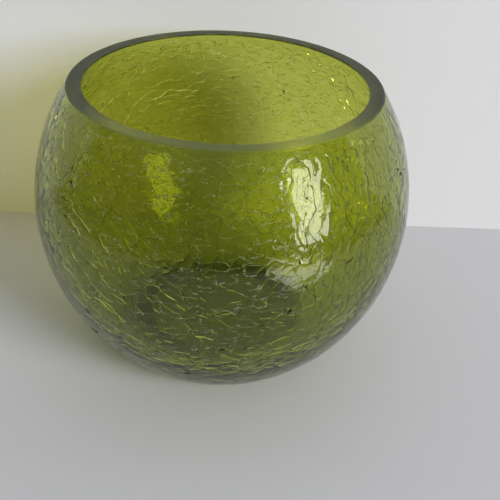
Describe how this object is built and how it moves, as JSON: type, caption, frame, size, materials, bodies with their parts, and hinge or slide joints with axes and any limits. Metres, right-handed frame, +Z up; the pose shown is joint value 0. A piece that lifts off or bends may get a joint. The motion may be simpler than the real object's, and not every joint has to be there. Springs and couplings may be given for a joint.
{
  "type": "round glass bowl",
  "caption": "Round, nearly spherical bowl of green crackle glass with a ground flat rim and a pushed-up base that stands on a ring.",
  "frame": {"origin": "centre of the ring the bowl stands on, on the surface under it", "axes": "+Z up along the bowl's axis of revolution; +X and +Y are any two level directions"},
  "size_m": [0.1199, 0.1199, 0.093],
  "materials": {
    "green_glass": "clear olive green glass with a network of fine cracks, ground rim"
  },
  "bodies": {
    "root": {"glass_bowl": "green_glass"}
  },
  "joints": []
}
